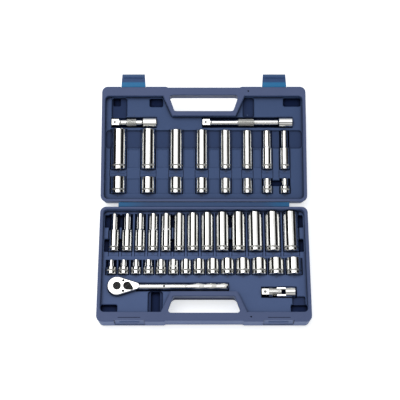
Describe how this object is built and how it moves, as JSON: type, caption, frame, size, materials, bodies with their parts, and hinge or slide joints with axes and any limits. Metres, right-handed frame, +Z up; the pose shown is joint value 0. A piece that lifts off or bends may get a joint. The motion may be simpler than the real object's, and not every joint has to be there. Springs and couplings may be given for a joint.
{
  "type": "socket wrench set in case",
  "caption": "Hinged carrying case with sockets, ratchet, universal joint and extension bars in moulded beds, for turning nuts and bolts.",
  "frame": {"origin": "centre of the base's underside", "axes": "+X along the hinge, +Y towards the hinge and the open lid, +Z up"},
  "size_m": [0.3438, 0.4196, 0.0838],
  "materials": {
    "case_plastic": "fine-grained blue blow-moulded polyethylene",
    "hinge_plastic": "thin brighter blue polyethylene",
    "latch_plastic": "smooth blue polyethylene",
    "chrome": "polished chrome plate",
    "steel": "satin steel",
    "black_steel": "black oxide"
  },
  "bodies": {
    "base": {"base_shell": "case_plastic"},
    "web": {"hinge_web": "hinge_plastic"},
    "lid": {"lid_shell": "case_plastic"},
    "latch_left": {"latch_left": "latch_plastic"},
    "latch_right": {"latch_right": "latch_plastic"},
    "ratchet": {"ratchet_body": "chrome", "ratchet_cover": "chrome", "cover_screws": "black_steel"},
    "drive": {"drive_gear": "chrome", "ratchet_ball": "steel", "button_spring": "steel"},
    "button": {"release_button": "black_steel"},
    "lever": {"reversing_lever": "black_steel"},
    "pawl": {"pawl": "steel"},
    "universal_joint": {"joint_square_yoke": "chrome", "joint_block": "steel", "joint_upright_pin": "steel", "joint_cross_pins": "steel", "joint_ball": "steel"},
    "joint_socket_end": {"joint_socket_yoke": "chrome"},
    "short_extension": {"short_extension": "chrome", "short_extension_ball": "steel"},
    "long_extension": {"long_extension": "chrome", "long_extension_ball": "steel"},
    "deep_socket_7mm": {"deep_socket_7mm": "chrome"},
    "deep_socket_8mm": {"deep_socket_8mm": "chrome"},
    "deep_socket_9mm": {"deep_socket_9mm": "chrome"},
    "deep_socket_10mm": {"deep_socket_10mm": "chrome"},
    "deep_socket_11mm": {"deep_socket_11mm": "chrome"},
    "deep_socket_12mm": {"deep_socket_12mm": "chrome"},
    "deep_socket_13mm": {"deep_socket_13mm": "chrome"},
    "deep_socket_14mm": {"deep_socket_14mm": "chrome"},
    "deep_socket_15mm": {"deep_socket_15mm": "chrome"},
    "deep_socket_16mm": {"deep_socket_16mm": "chrome"},
    "deep_socket_17mm": {"deep_socket_17mm": "chrome"},
    "deep_socket_18mm": {"deep_socket_18mm": "chrome"},
    "deep_socket_19mm": {"deep_socket_19mm": "chrome"},
    "socket_6mm": {"socket_6mm": "chrome"},
    "socket_7mm": {"socket_7mm": "chrome"},
    "socket_8mm": {"socket_8mm": "chrome"},
    "socket_9mm": {"socket_9mm": "chrome"},
    "socket_10mm": {"socket_10mm": "chrome"},
    "socket_11mm": {"socket_11mm": "chrome"},
    "socket_12mm": {"socket_12mm": "chrome"},
    "socket_13mm": {"socket_13mm": "chrome"},
    "socket_14mm": {"socket_14mm": "chrome"},
    "socket_15mm": {"socket_15mm": "chrome"},
    "socket_16mm": {"socket_16mm": "chrome"},
    "socket_17mm": {"socket_17mm": "chrome"},
    "socket_18mm": {"socket_18mm": "chrome"},
    "socket_19mm": {"socket_19mm": "chrome"},
    "deep_socket_3_4in": {"deep_socket_3_4in": "chrome"},
    "deep_socket_11_16in": {"deep_socket_11_16in": "chrome"},
    "deep_socket_5_8in": {"deep_socket_5_8in": "chrome"},
    "deep_socket_9_16in": {"deep_socket_9_16in": "chrome"},
    "deep_socket_1_2in": {"deep_socket_1_2in": "chrome"},
    "deep_socket_7_16in": {"deep_socket_7_16in": "chrome"},
    "deep_socket_3_8in": {"deep_socket_3_8in": "chrome"},
    "deep_socket_5_16in": {"deep_socket_5_16in": "chrome"},
    "shallow_inch_sockets": {"sockets_shallow_inch": "chrome"}
  },
  "joints": [
    {"name": "web_fold", "type": "hinge", "parent": "base", "child": "web", "pos_m": [0, 0.1001, 0.0312], "axis": [1, 0, 0], "range_deg": [0, 83.3]},
    {"name": "lid_fold", "type": "hinge", "parent": "web", "child": "lid", "pos_m": [0, 0.10596, 0.03189], "axis": [1, 0, 0], "range_deg": [0, 83.3]},
    {"name": "latch_left_fold", "type": "hinge", "parent": "lid", "child": "latch_left", "pos_m": [-0.119, 0.2993, 0.07774], "axis": [1, 0, 0], "range_deg": [0, 91]},
    {"name": "latch_right_fold", "type": "hinge", "parent": "lid", "child": "latch_right", "pos_m": [0.119, 0.2993, 0.07774], "axis": [1, 0, 0], "range_deg": [0, 91]},
    {"name": "ratchet_lift", "type": "slide", "parent": "base", "child": "ratchet", "axis": [0, 0, -1], "range_m": [-0.04, 0]},
    {"name": "drive_turn", "type": "hinge", "parent": "ratchet", "child": "drive", "pos_m": [-0.1406, -0.0377, 0.0305], "axis": [0, 0, 1], "continuous": true},
    {"name": "button_press", "type": "slide", "parent": "drive", "child": "button", "axis": [0, 0, -1], "range_m": [0, 0.0018], "stiffness_N_per_m": 400, "springref_m": -0.002, "deforming": ["button_spring"]},
    {"name": "lever_turn", "type": "hinge", "parent": "ratchet", "child": "lever", "pos_m": [-0.124, -0.0377, 0.0305], "axis": [0, 0, 1], "range_deg": [0, 60]},
    {"name": "pawl_rock", "type": "hinge", "parent": "ratchet", "child": "pawl", "pos_m": [-0.124, -0.0377, 0.0305], "axis": [0, 0, 1], "range_deg": [0, 14]},
    {"name": "universal_joint_lift", "type": "slide", "parent": "base", "child": "universal_joint", "axis": [0, 0, -1], "range_m": [-0.04, 0]},
    {"name": "joint_bend", "type": "hinge", "parent": "universal_joint", "child": "joint_socket_end", "pos_m": [0.121, -0.0465, 0.022], "axis": [0, 1, 0], "range_deg": [-35, 0]},
    {"name": "short_extension_lift", "type": "slide", "parent": "lid", "child": "short_extension", "axis": [0, 0.2317, -0.9728], "range_m": [-0.04, 0]},
    {"name": "long_extension_lift", "type": "slide", "parent": "lid", "child": "long_extension", "axis": [0, 0.2317, -0.9728], "range_m": [-0.04, 0]},
    {"name": "deep_socket_7mm_lift", "type": "slide", "parent": "base", "child": "deep_socket_7mm", "axis": [0, 0, -1], "range_m": [-0.04, 0]},
    {"name": "deep_socket_8mm_lift", "type": "slide", "parent": "base", "child": "deep_socket_8mm", "axis": [0, 0, -1], "range_m": [-0.04, 0]},
    {"name": "deep_socket_9mm_lift", "type": "slide", "parent": "base", "child": "deep_socket_9mm", "axis": [0, 0, -1], "range_m": [-0.04, 0]},
    {"name": "deep_socket_10mm_lift", "type": "slide", "parent": "base", "child": "deep_socket_10mm", "axis": [0, 0, -1], "range_m": [-0.04, 0]},
    {"name": "deep_socket_11mm_lift", "type": "slide", "parent": "base", "child": "deep_socket_11mm", "axis": [0, 0, -1], "range_m": [-0.04, 0]},
    {"name": "deep_socket_12mm_lift", "type": "slide", "parent": "base", "child": "deep_socket_12mm", "axis": [0, 0, -1], "range_m": [-0.04, 0]},
    {"name": "deep_socket_13mm_lift", "type": "slide", "parent": "base", "child": "deep_socket_13mm", "axis": [0, 0, -1], "range_m": [-0.04, 0]},
    {"name": "deep_socket_14mm_lift", "type": "slide", "parent": "base", "child": "deep_socket_14mm", "axis": [0, 0, -1], "range_m": [-0.04, 0]},
    {"name": "deep_socket_15mm_lift", "type": "slide", "parent": "base", "child": "deep_socket_15mm", "axis": [0, 0, -1], "range_m": [-0.04, 0]},
    {"name": "deep_socket_16mm_lift", "type": "slide", "parent": "base", "child": "deep_socket_16mm", "axis": [0, 0, -1], "range_m": [-0.04, 0]},
    {"name": "deep_socket_17mm_lift", "type": "slide", "parent": "base", "child": "deep_socket_17mm", "axis": [0, 0, -1], "range_m": [-0.04, 0]},
    {"name": "deep_socket_18mm_lift", "type": "slide", "parent": "base", "child": "deep_socket_18mm", "axis": [0, 0, -1], "range_m": [-0.04, 0]},
    {"name": "deep_socket_19mm_lift", "type": "slide", "parent": "base", "child": "deep_socket_19mm", "axis": [0, 0, -1], "range_m": [-0.04, 0]},
    {"name": "socket_6mm_lift", "type": "slide", "parent": "base", "child": "socket_6mm", "axis": [0, 0, -1], "range_m": [-0.04, 0]},
    {"name": "socket_7mm_lift", "type": "slide", "parent": "base", "child": "socket_7mm", "axis": [0, 0, -1], "range_m": [-0.04, 0]},
    {"name": "socket_8mm_lift", "type": "slide", "parent": "base", "child": "socket_8mm", "axis": [0, 0, -1], "range_m": [-0.04, 0]},
    {"name": "socket_9mm_lift", "type": "slide", "parent": "base", "child": "socket_9mm", "axis": [0, 0, -1], "range_m": [-0.04, 0]},
    {"name": "socket_10mm_lift", "type": "slide", "parent": "base", "child": "socket_10mm", "axis": [0, 0, -1], "range_m": [-0.04, 0]},
    {"name": "socket_11mm_lift", "type": "slide", "parent": "base", "child": "socket_11mm", "axis": [0, 0, -1], "range_m": [-0.04, 0]},
    {"name": "socket_12mm_lift", "type": "slide", "parent": "base", "child": "socket_12mm", "axis": [0, 0, -1], "range_m": [-0.04, 0]},
    {"name": "socket_13mm_lift", "type": "slide", "parent": "base", "child": "socket_13mm", "axis": [0, 0, -1], "range_m": [-0.04, 0]},
    {"name": "socket_14mm_lift", "type": "slide", "parent": "base", "child": "socket_14mm", "axis": [0, 0, -1], "range_m": [-0.04, 0]},
    {"name": "socket_15mm_lift", "type": "slide", "parent": "base", "child": "socket_15mm", "axis": [0, 0, -1], "range_m": [-0.04, 0]},
    {"name": "socket_16mm_lift", "type": "slide", "parent": "base", "child": "socket_16mm", "axis": [0, 0, -1], "range_m": [-0.04, 0]},
    {"name": "socket_17mm_lift", "type": "slide", "parent": "base", "child": "socket_17mm", "axis": [0, 0, -1], "range_m": [-0.04, 0]},
    {"name": "socket_18mm_lift", "type": "slide", "parent": "base", "child": "socket_18mm", "axis": [0, 0, -1], "range_m": [-0.04, 0]},
    {"name": "socket_19mm_lift", "type": "slide", "parent": "base", "child": "socket_19mm", "axis": [0, 0, -1], "range_m": [-0.04, 0]},
    {"name": "deep_socket_3_4in_lift", "type": "slide", "parent": "lid", "child": "deep_socket_3_4in", "axis": [0, 0.2317, -0.9728], "range_m": [-0.04, 0]},
    {"name": "deep_socket_11_16in_lift", "type": "slide", "parent": "lid", "child": "deep_socket_11_16in", "axis": [0, 0.2317, -0.9728], "range_m": [-0.04, 0]},
    {"name": "deep_socket_5_8in_lift", "type": "slide", "parent": "lid", "child": "deep_socket_5_8in", "axis": [0, 0.2317, -0.9728], "range_m": [-0.04, 0]},
    {"name": "deep_socket_9_16in_lift", "type": "slide", "parent": "lid", "child": "deep_socket_9_16in", "axis": [0, 0.2317, -0.9728], "range_m": [-0.04, 0]},
    {"name": "deep_socket_1_2in_lift", "type": "slide", "parent": "lid", "child": "deep_socket_1_2in", "axis": [0, 0.2317, -0.9728], "range_m": [-0.04, 0]},
    {"name": "deep_socket_7_16in_lift", "type": "slide", "parent": "lid", "child": "deep_socket_7_16in", "axis": [0, 0.2317, -0.9728], "range_m": [-0.04, 0]},
    {"name": "deep_socket_3_8in_lift", "type": "slide", "parent": "lid", "child": "deep_socket_3_8in", "axis": [0, 0.2317, -0.9728], "range_m": [-0.04, 0]},
    {"name": "deep_socket_5_16in_lift", "type": "slide", "parent": "lid", "child": "deep_socket_5_16in", "axis": [0, 0.2317, -0.9728], "range_m": [-0.04, 0]},
    {"name": "shallow_inch_lift", "type": "slide", "parent": "lid", "child": "shallow_inch_sockets", "axis": [0, 0.2317, -0.9728], "range_m": [-0.04, 0]}
  ],
  "couplings": [
    {"joint": "lid_fold", "follows": "web_fold", "ratio": 1},
    {"joint": "pawl_rock", "follows": "lever_turn", "ratio": 0.23333}
  ]
}
